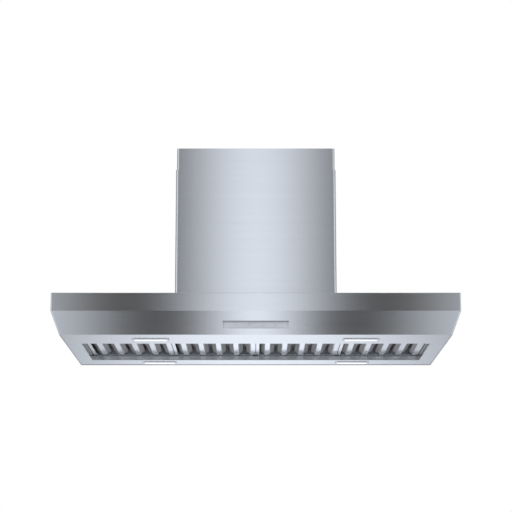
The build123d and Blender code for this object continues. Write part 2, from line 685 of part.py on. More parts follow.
# Grip springs on the front wall, two for each filter
springs = []
for i in range(FILTER_COUNT):
    filter_x = (i + 0.5 - FILTER_COUNT / 2) * FILTER_PITCH
    for dx in (-80, 80):
        with BuildPart() as spring:
            with BuildSketch(Plane.XZ.offset(-OPEN_FRONT)):
                with Locations((filter_x + dx, FILTER_Z + 11)):
                    RectangleRounded(26, 12, 3)
            extrude(amount=-0.4)
            with BuildSketch(Plane.XZ.offset(-OPEN_FRONT)):
                with Locations((filter_x + dx, FILTER_Z + 11)):
                    SlotOverall(16, 5)
            extrude(amount=-0.8)
        springs.append(spring.part)
group(springs, "filter_grip_springs")


# Filters: a folded frame, trough baffles below and cover strips above the slots
def trough(x, z):
    """Sheet trough, open upwards, with leaning flanks."""
    t = FILTER_SHEET
    half = BAFFLE_FLAT / 2
    lean = t * tan(FLANK_ANGLE / 2)
    out_x = half + BAFFLE_FLANK
    in_x = out_x - t * sin(FLANK_ANGLE)
    in_z = BAFFLE_RISE + t * cos(FLANK_ANGLE)
    with BuildLine() as outline:
        Polyline(
            (x - out_x, z + BAFFLE_RISE),
            (x - half, z),
            (x + half, z),
            (x + out_x, z + BAFFLE_RISE),
            (x + in_x, z + in_z),
            (x + half - lean, z + t),
            (x - half + lean, z + t),
            (x - in_x, z + in_z),
            close=True,
        )
    make_face(outline.edges())


def cover_strip(x, z, width):
    """Sheet channel, open downwards, with its top at z."""
    with Locations((x, z - HOOD_STRIP_H / 2)):
        Rectangle(width, HOOD_STRIP_H)
    with Locations((x, z - FILTER_SHEET - HOOD_STRIP_H / 2)):
        Rectangle(width - 2 * FILTER_SHEET, HOOD_STRIP_H, mode=Mode.SUBTRACT)


STRIP_TOP = FILTER_Z + FILTER_H - FILTER_SHEET
BAFFLE_L = FILTER_L - 2 * FILTER_SHEET - 2 * SLIP
HANDLE_AXIS_Y = FILTER_FRONT + HANDLE_Y
HANDLE_AXIS_Z = FILTER_Z - HANDLE_DROP
for i in range(FILTER_COUNT):
    left = (i - FILTER_COUNT / 2) * FILTER_PITCH + FILTER_GAP / 2
    mid_x = left + FILTER_W / 2
    mid_y = (FILTER_FRONT + FILTER_REAR) / 2
    t = FILTER_SHEET

    with BuildPart() as frame:
        with Locations((mid_x, mid_y, FILTER_Z + FILTER_H / 2)):
            Box(FILTER_W, FILTER_L, FILTER_H)
            Box(FILTER_W - 2 * t, FILTER_L - 2 * t, FILTER_H - 2 * t, mode=Mode.SUBTRACT)
        # Window below, then window above
        with BuildSketch(Plane.XY.offset(FILTER_Z - 1)):
            with Locations((left + (RAIL_LEFT + FILTER_W - RAIL_RIGHT) / 2, mid_y)):
                Rectangle(FILTER_W - RAIL_LEFT - RAIL_RIGHT, FILTER_L - 2 * RAIL_END)
        extrude(amount=t + 2, mode=Mode.SUBTRACT)
        with BuildSketch(Plane.XY.offset(FILTER_Z + FILTER_H - t - 1)):
            with Locations((mid_x, mid_y)):
                Rectangle(FILTER_W - 2 * RAIL_END, FILTER_L - 2 * RAIL_END)
        extrude(amount=t + 2, mode=Mode.SUBTRACT)
        # Leaning edge of the right rail
        with BuildSketch(Plane.XZ.offset(-FILTER_REAR + RAIL_END)):
            edge_x = left + FILTER_W - RAIL_RIGHT
            tip_x = edge_x - BAFFLE_FLANK
            tip_z = FILTER_Z + BAFFLE_RISE
            with BuildLine():
                Polyline(
                    (edge_x, FILTER_Z),
                    (tip_x, tip_z),
                    (tip_x + t * sin(FLANK_ANGLE), tip_z + t * cos(FLANK_ANGLE)),
                    (edge_x + t, FILTER_Z + t),
                    (edge_x + t, FILTER_Z),
                    close=True,
                )
            make_face()
        extrude(amount=FILTER_L - 2 * RAIL_END)
        # Closed pockets at the rear corners for the pivot brackets
        mid_z = FILTER_Z + FILTER_H / 2
        notch_y = FILTER_REAR - NOTCH_Y / 2
        for sx in (-1, 1):
            with Locations((mid_x + sx * (FILTER_W - NOTCH_X) / 2, notch_y, mid_z)):
                Box(NOTCH_X, NOTCH_Y, FILTER_H)
            with Locations((mid_x + sx * (FILTER_W - NOTCH_X + t) / 2, notch_y, mid_z)):
                Box(NOTCH_X - t, NOTCH_Y, FILTER_H + 2, mode=Mode.SUBTRACT)
            with Locations((mid_x + sx * (FILTER_W - NOTCH_X) / 2, FILTER_REAR - NOTCH_Y - t / 2, mid_z)):
                Box(NOTCH_X, t, FILTER_H)
            reach = FILTER_W / 2 + FILTER_GAP / 2 - SLIP / 2
            with BuildSketch(Plane.YZ.offset(mid_x + sx * reach)):
                with Locations((PIVOT_Y, PIVOT_Z)):
                    Circle(PIVOT_R)
            extrude(amount=-sx * (reach - FILTER_W / 2 + NOTCH_X - t / 2))
        # Lugs that carry the handle
        for sx in (-1, 1):
            with BuildSketch(Plane.YZ.offset(mid_x + sx * (HANDLE_W / 2 + HANDLE_R + 2) - 2)):
                with Locations((HANDLE_AXIS_Y, HANDLE_AXIS_Z)):
                    Circle(4)
                with Locations((HANDLE_AXIS_Y, (HANDLE_AXIS_Z + FILTER_Z) / 2)):
                    Rectangle(8, FILTER_Z - HANDLE_AXIS_Z)
                with Locations((HANDLE_AXIS_Y, HANDLE_AXIS_Z)):
                    Circle(HANDLE_R + RUN, mode=Mode.SUBTRACT)
            extrude(amount=4)
    save(frame.part, f"filter_{i + 1}_frame")

    pieces = []
    for k in range(BAFFLE_COUNT):
        with BuildPart() as baffle:
            with BuildSketch(Plane.XZ.offset(-mid_y - BAFFLE_L / 2)):
                trough(left + BAFFLE_FIRST + k * BAFFLE_PITCH, FILTER_Z + t)
            extrude(amount=BAFFLE_L)
        pieces.append(baffle.part)
        with BuildPart() as strip:
            with BuildSketch(Plane.XZ.offset(-mid_y - BAFFLE_L / 2)):
                cover_strip(left + BAFFLE_FIRST + (k + 0.5) * BAFFLE_PITCH, STRIP_TOP, HOOD_STRIP_W)
            extrude(amount=BAFFLE_L)
        pieces.append(strip.part)
    with BuildPart() as first_strip:
        with BuildSketch(Plane.XZ.offset(-mid_y - (BAFFLE_L - NOTCH_Y) / 2 + NOTCH_Y / 2 + 1)):
            cover_strip(left + 11, STRIP_TOP, 17)
        extrude(amount=BAFFLE_L - NOTCH_Y - 1)
    pieces.append(first_strip.part)
    group(pieces, f"filter_{i + 1}_baffles")

    # Folding handle of round wire
    with BuildPart() as handle:
        half = HANDLE_W / 2
        with BuildLine() as wire:
            FilletPolyline(
                (mid_x - half - HANDLE_R - 4, HANDLE_AXIS_Y, HANDLE_AXIS_Z),
                (mid_x - half + 4, HANDLE_AXIS_Y, HANDLE_AXIS_Z),
                (mid_x - half + 4, HANDLE_AXIS_Y + HANDLE_REACH, HANDLE_AXIS_Z),
                (mid_x + half - 4, HANDLE_AXIS_Y + HANDLE_REACH, HANDLE_AXIS_Z),
                (mid_x + half - 4, HANDLE_AXIS_Y, HANDLE_AXIS_Z),
                (mid_x + half + HANDLE_R + 4, HANDLE_AXIS_Y, HANDLE_AXIS_Z),
                radius=3.5,
            )
        with BuildSketch(Plane(wire.wire() @ 0, z_dir=wire.wire() % 0)):
            Circle(HANDLE_R)
        sweep()
    save(handle.part, f"filter_{i + 1}_handle")

# Lamps in the front and rear rims
boards = []
for n, (x, y) in enumerate(LAMP_PLACES):
    with BuildPart() as bezel:
        with BuildSketch(Plane.XY.offset(Z_PANEL - LAMP_PROUD)):
            with Locations((x, y)):
                RectangleRounded(LAMP_W, LAMP_D, LAMP_CORNER_R)
        extrude(amount=LAMP_PROUD)
        fillet(bezel.faces().sort_by(Axis.Z)[0].edges(), 0.8)
        with BuildSketch(Plane.XY.offset(Z_PANEL)):
            with Locations((x, y)):
                Rectangle(LENS_W + 4, LENS_D + 4)
        extrude(amount=LAMP_BODY_H)
        with BuildSketch(Plane.XY.offset(Z_PANEL - LAMP_PROUD)):
            with Locations((x, y)):
                RectangleRounded(LENS_W + 2 * SLIP, LENS_D + 2 * SLIP, LENS_CORNER_R + SLIP)
        extrude(amount=LAMP_PROUD + LAMP_BODY_H - 1.5, mode=Mode.SUBTRACT)
    save(bezel.part, f"lamp_{n + 1}_bezel")
    with BuildPart() as lens:
        with BuildSketch(Plane.XY.offset(Z_PANEL - LAMP_PROUD + 0.2)):
            with Locations((x, y)):
                RectangleRounded(LENS_W, LENS_D, LENS_CORNER_R)
        extrude(amount=LENS_T)
    save(lens.part, f"lamp_{n + 1}_lens")
    with BuildPart() as board:
        with BuildSketch(Plane.XY.offset(Z_PANEL + LAMP_BODY_H - 1.5)):
            with Locations((x, y)):
                RectangleRounded(LENS_W - 1, LENS_D - 1, LENS_CORNER_R)
        extrude(amount=-1.6)
        with BuildSketch(Plane.XY.offset(Z_PANEL + LAMP_BODY_H - 3.1)):
            with Locations((x, y)):
                with GridLocations(15, 14, 6, 2):
                    Rectangle(3.5, 3.5)
        extrude(amount=-0.8)
    boards.append(board.part)
group(boards, "led_boards")

# Controls: a recessed bezel whose face stands upright in the leaning skirt
BUTTON_PITCH = BUTTON_W + BUTTON_GAP
SWITCH_H = 5.5
STEM_L = CONTROL_DEPTH - SWITCH_H - BUTTON_TRAVEL - 1.4
BUTTON_XS = [(i - (BUTTON_COUNT - 1) / 2) * BUTTON_PITCH for i in range(BUTTON_COUNT)]
FACE_T = 2.0
CONTROL_REAR = CONTROL_FACE + FACE_T + CONTROL_DEPTH
with BuildPart() as control_bezel:
    with BuildSketch(Plane.YZ.offset(-CONTROL_W / 2)):
        with BuildLine():
            Polyline(
                (skirt_y(CONTROL_Z_TOP), CONTROL_Z_TOP),
                (skirt_y(CONTROL_Z_LOW), CONTROL_Z_LOW),
                (CONTROL_REAR, CONTROL_Z_LOW),
                (CONTROL_REAR, CONTROL_Z_TOP),
                close=True,
            )
        make_face()
    extrude(amount=CONTROL_W)
    # Space in front of the face
    with BuildSketch(Plane.XZ.offset(-CONTROL_FACE)):
        with Locations((0, CONTROL_Z)):
            Rectangle(CONTROL_W - 2 * CONTROL_WALL, CONTROL_H - 2 * CONTROL_WALL)
    extrude(amount=20, mode=Mode.SUBTRACT)
    # Space behind the face
    with BuildSketch(Plane.XZ.offset(-CONTROL_FACE - FACE_T)):
        with Locations((0, CONTROL_Z)):
            Rectangle(CONTROL_W - 2 * CONTROL_WALL, CONTROL_H - 2 * CONTROL_WALL)
    extrude(amount=-CONTROL_DEPTH, mode=Mode.SUBTRACT)
    with BuildSketch(Plane.XZ.offset(-CONTROL_FACE + 1)):
        with Locations([(x, CONTROL_Z) for x in BUTTON_XS]):
            RectangleRounded(BUTTON_W, BUTTON_H, 2)
    extrude(amount=-FACE_T - 2, mode=Mode.SUBTRACT)
save(control_bezel.part, "control_bezel")

for i, x in enumerate(BUTTON_XS):
    with BuildPart() as button:
        with BuildSketch(Plane.XZ.offset(-CONTROL_FACE + BUTTON_PROUD)):
            with Locations((x, CONTROL_Z)):
                RectangleRounded(BUTTON_W - 2 * BUTTON_PLAY, BUTTON_H - 2 * BUTTON_PLAY, 1.7)
        extrude(amount=-BUTTON_PROUD - FACE_T - 1)
        fillet(button.faces().sort_by(Axis.Y)[0].edges(), 0.6)
        with BuildSketch(Plane.XZ.offset(-CONTROL_FACE - FACE_T - 0.3)):
            with Locations((x, CONTROL_Z)):
                Rectangle(BUTTON_W - 4, BUTTON_H + 3)
        extrude(amount=-1.2)
        with BuildSketch(Plane.XZ.offset(-CONTROL_FACE - FACE_T - 1)):
            with Locations((x, CONTROL_Z)):
                Circle(3)
        extrude(amount=-STEM_L)
    save(button.part, f"button_{i + 1}")

with BuildPart() as control_board:
    with BuildSketch(Plane.XZ.offset(-CONTROL_REAR)):
        with Locations((0, CONTROL_Z)):
            Rectangle(CONTROL_W - 1, CONTROL_H - 1)
    extrude(amount=-1.6)
    with BuildSketch(Plane.XZ.offset(-CONTROL_REAR)):
        with Locations([(x, CONTROL_Z) for x in BUTTON_XS]):
            Rectangle(8, 8)
    extrude(amount=SWITCH_H)
save(control_board.part, "control_board")

# Lamp driver under the canopy's top, junction box on the side of the fan box
with BuildPart() as led_driver:
    with Locations((-LAMP_X, DRIVER_Y, Z_TOP - SHEET - 16)):
        Box(170, 46, 32)
    fillet(led_driver.edges().filter_by(Axis.Z), 3)
    with Locations((-LAMP_X, DRIVER_Y, Z_TOP - SHEET - 1)):
        Box(200, 24, 2)
save(led_driver.part, "led_driver")

with BuildPart() as junction_box:
    with Locations((CABLE_X, 0, Z_TOP + JUNCTION_UP)):
        Box(34, 96, 100)
        Box(31, 93, 97, mode=Mode.SUBTRACT)
    with Locations((CABLE_X, 0, Z_TOP + JUNCTION_UP + 50)):
        Cylinder(11, 10, mode=Mode.SUBTRACT)
save(junction_box.part, "junction_box")
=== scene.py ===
# %% [markdown]
# # An island range hood in steel
# The hood hangs from a ceiling: two telescoping chimney covers, a wide canopy with a leaning skirt,
# four baffle filters, four lamps and a strip of five buttons. Its solids come ready made from the
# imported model, so this lesson is about light, finishes and the small pieces that the solids leave plain.

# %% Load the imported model
import math

import bmesh
import bpy
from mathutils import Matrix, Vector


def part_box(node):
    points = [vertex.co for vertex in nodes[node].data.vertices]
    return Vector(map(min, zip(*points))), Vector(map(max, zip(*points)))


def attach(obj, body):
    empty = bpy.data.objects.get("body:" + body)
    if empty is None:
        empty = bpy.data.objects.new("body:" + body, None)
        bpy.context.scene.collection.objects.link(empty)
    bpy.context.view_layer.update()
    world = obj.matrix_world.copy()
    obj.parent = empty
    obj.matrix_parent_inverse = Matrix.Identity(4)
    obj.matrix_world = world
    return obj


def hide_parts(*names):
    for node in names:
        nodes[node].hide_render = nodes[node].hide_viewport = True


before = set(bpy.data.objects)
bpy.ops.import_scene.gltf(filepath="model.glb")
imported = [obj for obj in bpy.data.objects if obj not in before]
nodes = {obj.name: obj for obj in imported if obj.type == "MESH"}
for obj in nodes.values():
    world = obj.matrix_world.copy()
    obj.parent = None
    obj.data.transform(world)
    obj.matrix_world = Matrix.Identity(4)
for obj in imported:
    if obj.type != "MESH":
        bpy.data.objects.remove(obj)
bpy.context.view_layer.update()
slot_of = {name: node.material_slots[0].material.name for name, node in nodes.items()}
for plain in list(bpy.data.materials):
    bpy.data.materials.remove(plain)

# %% [markdown]
# ## The camera
# The picture was taken from well below the hood and from its middle, with a long lens, so the upright
# edges stay nearly upright. A camera could be aimed with a constraint, but a plain place and tilt are
# easier to read. The tilt is the angle above level, in degrees.

# %% Camera
CAMERA_PLACE = (0.0006, -5.2024, -1.4040)
CAMERA_TILT = 11.83
SENSOR_WIDTH = 36.0
FOCAL_LENGTH = 117.14

scene = bpy.context.scene
scene.view_settings.view_transform = "Standard"
lens = bpy.data.cameras.new("camera")
lens.sensor_width = SENSOR_WIDTH
lens.lens = FOCAL_LENGTH
camera = bpy.data.objects.new("camera", lens)
camera.location = CAMERA_PLACE
camera.rotation_euler = (math.radians(90 + CAMERA_TILT), 0, 0)
scene.collection.objects.link(camera)
scene.camera = camera
print("camera at", tuple(round(v, 3) for v in camera.location))

# %% [markdown]
# ## Arithmetic on sockets
# A finish is mostly sums: a grain times a strength, a mask taken from one. Drawn by hand every sum is a
# node and two links. This class wraps a node's output so that the sums can be written as sums. Any other
# kind of node comes from its one method `add`.

# %% Socket arithmetic
class Wire:
    """A node's output. Plain arithmetic on it adds Math nodes to the same tree."""

    def __init__(self, socket):
        self.socket = socket
        self.tree = socket.id_data

    @staticmethod
    def add(tree, kind, settings=None, inputs=None, out=0):
        """Adds a node, sets its settings, then puts values or links on its sockets.

        A list of wires goes to one socket that takes several links.
        """
        node = tree.nodes.new(kind)
        for name, value in (settings or {}).items():
            setattr(node, name, value)
        for key, value in (inputs or {}).items():
            wires = value if isinstance(value, list) else [value]
            if isinstance(wires[0], Wire):
                for wire in wires:
                    tree.links.new(wire.socket, node.inputs[key])
            else:
                node.inputs[key].default_value = value
        return Wire(node.outputs[out])

    def math(self, operation, other=None, swap=False):
        values = [self] if other is None else [self, other]
        if swap:
            values.reverse()
        return Wire.add(self.tree, "ShaderNodeMath", {"operation": operation}, dict(enumerate(values)))

    def __add__(self, other):
        return self.math("ADD", other)

    def __radd__(self, other):
        return self.math("ADD", other)

    def __sub__(self, other):
        return self.math("SUBTRACT", other)

    def __rsub__(self, other):
        return self.math("SUBTRACT", other, swap=True)

    def __mul__(self, other):
        return self.math("MULTIPLY", other)

    def __rmul__(self, other):
        return self.math("MULTIPLY", other)

    def __truediv__(self, other):
        return self.math("DIVIDE", other)

    def __pow__(self, other):
        return self.math("POWER", other)

    def above(self, other):
        return self.math("GREATER_THAN", other)

    def smaller(self, other):
        return self.math("MINIMUM", other)

    def larger(self, other):
        return self.math("MAXIMUM", other)

    def size(self):
        return self.math("ABSOLUTE")

    def hill(self, centre, width):
        """1 at the centre, falling smoothly to 0 over about the width."""
        away = (self - centre) / width
        return (away * away * -1.0).math("EXPONENT")


print("arithmetic ready")

# %% [markdown]
# The rest of a tree is much the same for every finish: an empty material, a place on the hood, a mix of
# two colours and an output. These short functions say each of them once.

# %% Tree helpers
def new_finish(name):
    """An empty material and its node tree."""
    finish = bpy.data.materials.new(name)
    finish.use_nodes = True
    finish.node_tree.nodes.clear()
    return finish, finish.node_tree


def end_in(tree, shader, output="ShaderNodeOutputMaterial"):
    """Ends the tree in that shader."""
    tree.links.new(shader.socket, tree.nodes.new(output).inputs["Surface"])


def place_on(tree):
    """Object coordinates: metres from the ceiling's middle."""
    return Wire.add(tree, "ShaderNodeTexCoord", out="Object")


def split(vector):
    """The X, Y and Z of a vector, as three numbers."""
    node = Wire.add(vector.tree, "ShaderNodeSeparateXYZ", None, {0: vector}).socket.node
    return [Wire(socket) for socket in node.outputs]


def blend_colours(tree, share, first, second):
    """Colour that goes from the first to the second with the share."""
    return Wire.add(tree, "ShaderNodeMix", {"data_type": "RGBA"}, {0: share, 6: first, 7: second}, out=2)


print("tree helpers ready")

# %% [markdown]
# ## The white room
# The room is plain white all round. It is what the camera sees behind the hood, and steel and glass show
# it too. A white wall could be modelled, but a world of strength 1 is white from every side.

# %% White room
WHITE = (1, 1, 1, 1)

world = bpy.data.worlds.new("white_room")
scene.world = world
world.use_nodes = True
outside = world.node_tree
outside.nodes.clear()
white = Wire.add(outside, "ShaderNodeBackground", None, {"Color": WHITE, "Strength": 1.0})
end_in(outside, white, "ShaderNodeOutputWorld")
print("white room with", len(outside.nodes), "nodes")

# %% [markdown]
# ## Flags and strips
# Steel shows what stands round it, so the light is arranged for its reflections. In front of the white
# room hangs a bright strip behind the camera, with a dark flag on either side of it. That is how
# photographers give flat steel its bright middle and darker shoulders. Each could be a board or a lamp of
# its own, but soft edges are what counts, so one far dome of film carries them all. It lets the white room
# through, dims it at a flag and lifts it at a strip, by the direction alone. The other walls are arranged
# alike, apart from the backdrop, which has no flags. Beyond the flags the walls fall into dusk, the corners
# of the room beside the camera are bright and those behind the hood dark. That draws a dark, a white and a
# grey line down each rounded edge of the chimney. The film is a little blue where it is clear and warm at
# the flags, as black cloth is. The camera looks past it.

# %% Compass of the film
LOWEST = 0.5  # how far below level the film still changes
DRAWN_IN = 0.25  # how much the pattern draws in on the way down
CORNER_PLACE = 0.707

film, studio = new_finish("studio_film")
compass = Wire.add(studio, "ShaderNodeVectorMath", {"operation": "NORMALIZE"}, {0: place_on(studio)})
east, north, up = split(compass)
below = (0.0 - up).larger(0.0).smaller(LOWEST)
overhead = up.larger(0.0) ** 2.0
off_wall = east.size().smaller(north.size()) / (1.0 - DRAWN_IN * below)
in_front = (0.0 - north).above(0.0)
is_backdrop = (north - east.size()).above(0.0)
print("film measured from its walls, with corners at", CORNER_PLACE)

# %% Flags and strips on the film
CLEAR = 0.945
STRIP, STRIP_WIDTH, STRIP_HEIGHT, STRIP_FADE = 0.87, 0.050, 0.5, 0.95
FLAG, FLAG_PLACE, FLAG_WIDTH = 1.13, 0.0685, 0.053
DUSK, DUSK_PLACE, DUSK_WIDTH = 0.60, 0.33, 0.09
CORNER_LIGHT, CORNER_DARK, CORNER_WIDTH = 0.50, 0.45, 0.22
BACKDROP_EDGE, BACKDROP_MIDDLE, BACKDROP_WIDTH = 0.30, 0.89, 0.118
LOW_LIFT = 0.32
CEILING_SHADE, CEILING_WIDTH = 0.6, 0.25
DARKEST = 0.03

corner = off_wall.hill(CORNER_PLACE, CORNER_WIDTH) * ((CORNER_LIGHT + CORNER_DARK) * in_front - CORNER_DARK)
strip = STRIP * (1.0 - STRIP_FADE * below) * off_wall.hill(0.0, STRIP_WIDTH)
strip = (strip - FLAG * off_wall.hill(FLAG_PLACE, FLAG_WIDTH)) * overhead.hill(0.0, STRIP_HEIGHT)
dusk = DUSK * off_wall.hill(DUSK_PLACE, DUSK_WIDTH)
walls = (CLEAR + strip - dusk + corner) * (1.0 + LOW_LIFT * below)
backdrop = BACKDROP_EDGE + BACKDROP_MIDDLE * off_wall.hill(0.0, BACKDROP_WIDTH)
shade = 1.0 - CEILING_SHADE * (1.0 - overhead.hill(0.0, CEILING_WIDTH))
level = ((is_backdrop * backdrop + (1.0 - is_backdrop) * walls) * shade).larger(DARKEST)
print("flags and strips with", len(studio.nodes), "nodes")

# %% Dome of film
LIGHT_TINT, DARK_TINT = (0.943, 1.0, 1.10, 1.0), (1.04, 1.0, 0.95, 1.0)
TINT_START, TINT_RISE = 0.15, 2.2
DOME_REACH, DOME_STEPS = 300.0, 3


def stage_piece(name, shape, finish):
    """An object of that shape and finish, to stand round the hood."""
    mesh = bpy.data.meshes.new(name)
    shape.to_mesh(mesh)
    shape.free()
    mesh.materials.append(finish)
    piece = bpy.data.objects.new(name, mesh)
    scene.collection.objects.link(piece)
    return piece


lit = ((level - TINT_START) * TINT_RISE).larger(0.0).smaller(1.0)
tint = blend_colours(studio, lit, DARK_TINT, LIGHT_TINT)
passed = Wire.add(studio, "ShaderNodeVectorMath", {"operation": "SCALE"}, {0: tint, "Scale": level})
end_in(studio, Wire.add(studio, "ShaderNodeBsdfTransparent", None, {"Color": passed}))
shape = bmesh.new()
bmesh.ops.create_icosphere(shape, subdivisions=DOME_STEPS, radius=DOME_REACH)
dome = stage_piece("studio_dome", shape, film)
dome.visible_camera = False
dome.visible_transmission = False
print("dome of", len(dome.data.polygons), "faces")

# %% [markdown]
# ## The floor
# The hood hangs over a kitchen floor, about 2.35 m below the ceiling. The floor lies far below the
# picture, but it throws pale light up at the filters and takes the hood's soft shadow. It is a disc that
# fades out at its rim, so that no edge shows in any view, and it is clear from below.

# %% Floor
FLOOR_LEVEL = -2.35
FLOOR_REACH, FLOOR_SIDES = 1.4, 96
FLOOR_FADE = 3.0
FLOOR_GREY = (0.80, 0.80, 0.80, 1)

pale, tree = new_finish("pale_floor")
east, north = split(place_on(tree))[:2]
faded = ((east * east + north * north) ** 0.5 / FLOOR_REACH) ** FLOOR_FADE
hidden = faded.larger(Wire.add(tree, "ShaderNodeNewGeometry", out="Backfacing")).smaller(1.0)
matt = Wire.add(tree, "ShaderNodeBsdfDiffuse", None, {"Color": FLOOR_GREY})
clear = Wire.add(tree, "ShaderNodeBsdfTransparent")
end_in(tree, Wire.add(tree, "ShaderNodeMixShader", None, {0: hidden, 1: matt, 2: clear}))
shape = bmesh.new()
bmesh.ops.create_circle(shape, cap_ends=True, segments=FLOOR_SIDES, radius=FLOOR_REACH)
bmesh.ops.translate(shape, vec=(0, 0, FLOOR_LEVEL), verts=shape.verts)
floor = stage_piece("floor", shape, pale)
print("floor at", FLOOR_LEVEL)

# %% [markdown]
# An overhead softbox lights the canopy's top and gives the floor its shadow. A sun would be simpler but
# its shadow is hard. An area lamp of two metres is as soft as a studio's.

# %% Overhead softbox
SOFTBOX_SIZE, SOFTBOX_HEIGHT, SOFTBOX_POWER = 2.0, 2.6, 12.0

softbox = bpy.data.lights.new("overhead_softbox", "AREA")
softbox.shape = "SQUARE"
softbox.size = SOFTBOX_SIZE
softbox.energy = SOFTBOX_POWER
softbox_lamp = bpy.data.objects.new("overhead_softbox", softbox)
softbox_lamp.location = (0, 0, SOFTBOX_HEIGHT)
softbox_lamp.visible_camera = False
scene.collection.objects.link(softbox_lamp)
print("softbox of", softbox.energy, "W")

# %% [markdown]
# ## Brushed steel
# The canopy and the chimney are stainless sheet, drawn across an abrasive belt so that fine lines run
# across the width. The lines spread every reflection up and down and leave it sharp from side to side.
# Photographed lines could be laid on, but a noise that is stretched along the width gives lines of any
# fineness, and the shader's anisotropy gives the spread. The anisotropy is one number for the whole
# sheet, so it sits on the shader's own socket.

# %% Grain and shader helpers
def grain(tree, scale, detail=2.0, rough=0.55):
    """Noise between 0 and 1, stretched by a scale along each axis, in lines to the metre."""
    place = Wire.add(tree, "ShaderNodeMapping", None, {"Vector": place_on(tree), "Scale": scale})
    return Wire.add(
        tree, "ShaderNodeTexNoise", None,
        {"Vector": place, "Scale": 1.0, "Detail": detail, "Roughness": rough},
    )


def raised(tree, height, depth):
    """Normal of a surface with that height map, whose full height is depth in metres."""
    return Wire.add(tree, "ShaderNodeBump", None, {"Strength": 1.0, "Distance": depth, "Height": height})


def surface(tree, sockets):
    """Ends a finish in one shader with these sockets."""
    end_in(tree, Wire.add(tree, "ShaderNodeBsdfPrincipled", None, sockets))


print("grain and shader helpers ready")

# %% Steel sheet
STEEL_DARK = (0.585, 0.592, 0.598, 1)
STEEL_LIGHT = (0.660, 0.668, 0.674, 1)
# Colour that a change darkens towards; on the ledge and the filter flanks this is painted shade.
BLACK = (0.0, 0.0, 0.0, 1)
BROAD_SCALE = 0.04
STEEL_ROUGHENING = 0.06
LINE_DEPTH = 0.000004


def steel(name, lines, roughness, spread=0.0, turn=0.0, changes=()):
    """Stainless sheet with lines at that scale, and its reflections spread across them.

    Each change is a rule that says where it lies, with the roughness and the share of brightness there.
    """
    finish, tree = new_finish(name)
    fine = grain(tree, lines)
    broad = grain(tree, tuple(BROAD_SCALE * v for v in lines), detail=1.0)
    colour = blend_colours(tree, 0.5 * fine + 0.5 * broad, STEEL_DARK, STEEL_LIGHT)
    rough = roughness - STEEL_ROUGHENING / 2 + STEEL_ROUGHENING * fine
    for rule, other_roughness, brightness in changes:
        here = rule(*split(place_on(tree)))
        colour = blend_colours(tree, (1.0 - brightness) * here, colour, BLACK)
        rough = rough + (other_roughness - roughness) * here
    surface(tree, {
        "Base Color": colour,
        "Roughness": rough,
        "Metallic": 1.0,
        "Anisotropic": spread,
        "Anisotropic Rotation": turn,
        "Normal": raised(tree, fine, LINE_DEPTH),
    })
    print(name, "with", len(changes), "changes")
    return finish


print("steel from", STEEL_DARK[:3], "to", STEEL_LIGHT[:3])

# %% [markdown]
# Each sheet runs its lines its own way. The skirt below the fold is polished finer than the sheet above
# it. The underside panel is bright on its rims and duller on the walls of its recess. On the ledge
# along the outer filters its colour is darkened nearly to black, as painted shade for the dark gap between
# ledge and filter. The baffles of the filters are bright on their flat faces, where they are wiped, and
# duller on the flanks and inside, where their colour is also darkened as painted shade for the shadowed
# slots. The filters' rear rails are duller and darker too. A second material on those faces would do it,
# but a rule in the object's own coordinates is enough, because the filters hang at one height and end in
# one line.

# %% Where the sheets change
BAND_HEIGHT = 0.0544
FLAT_DEPTH = 0.0012
RAIL_WIDTH = 0.0140
RIM_DEPTH = 0.0016
LEDGE_RISE = 0.0160
LEDGE_WIDTH = 0.0042

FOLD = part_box("canopy_shell")[1][2] - BAND_HEIGHT
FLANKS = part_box("filter_1_baffles")[0][2] + FLAT_DEPTH
REAR_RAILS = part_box("filter_1_frame")[1][1] - RAIL_WIDTH
RIM_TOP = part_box("underside_panel")[0][2] + RIM_DEPTH
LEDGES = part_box("underside_panel")[0][2] + LEDGE_RISE
LEDGE_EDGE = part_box("filter_4_frame")[1][0] + LEDGE_WIDTH


def above_fold(east, north, up):
    return up.above(FOLD)


def on_walls(east, north, up):
    return up.above(RIM_TOP)


# Painted shade: the ledge beside the outer filters is darkened nearly to black, standing in for the shadowed
# gap there.
def ledge_gap_painted_shade(east, north, up):
    return up.above(LEDGES) * (LEDGE_EDGE - east.size()).above(0.0)


# Painted shade: the flanks and insides of the baffles are darkened to 62 % of their colour, standing in for
# the shade in the slots.
def flanks_painted_shade(east, north, up):
    return up.above(FLANKS)


def on_rear_rails(east, north, up):
    return north.above(REAR_RAILS) * (1.0 - up.above(FLANKS))


print("fold at", round(FOLD, 4), "and flanks from", round(FLANKS, 4))

# %% Sheet finishes
brushed_steel = steel(
    "brushed_steel", lines=(2.0, 2.0, 1400.0), roughness=0.125, spread=1.0, turn=0.25,
    changes=[(above_fold, 0.18, 1.0)],
)
underside_steel = steel(
    "underside_steel", lines=(2.0, 1400.0, 2.0), roughness=0.22,
    # The second change darkens the ledge to 4 % of its colour: painted shade.
    changes=[(on_walls, 0.26, 1.0), (ledge_gap_painted_shade, 0.26, 0.04)],
)
filter_steel = steel(
    "filter_steel", lines=(900.0, 3.0, 900.0), roughness=0.15,
    # The first change darkens the flanks as painted shade; the second makes the rear rails darker.
    changes=[(flanks_painted_shade, 0.42, 0.62), (on_rear_rails, 0.42, 0.42)],
)
lamp_steel = steel("lamp_steel", lines=(3.0, 900.0, 900.0), roughness=0.26)
screw_steel = steel("screw_steel", lines=(600.0, 600.0, 600.0), roughness=0.30)
wire_steel = steel("wire_steel", lines=(500.0, 500.0, 500.0), roughness=0.16)

# %% [markdown]
# ## Zinc-coated sheet
# The ceiling bracket, the posts and the fan box are hot-dipped sheet, which shows a pattern of flat
# crystals. A photograph of it could be laid on, but a Voronoi texture has just such cells, and each cell's
# own colour gives it its own grey.

# %% Zinc sheet
CRYSTALS = 110.0
ZINC_DARK, ZINC_LIGHT = (0.46, 0.47, 0.48, 1), (0.60, 0.61, 0.62, 1)
ZINC_ROUGHNESS, ZINC_ROUGHENING = 0.38, 0.16

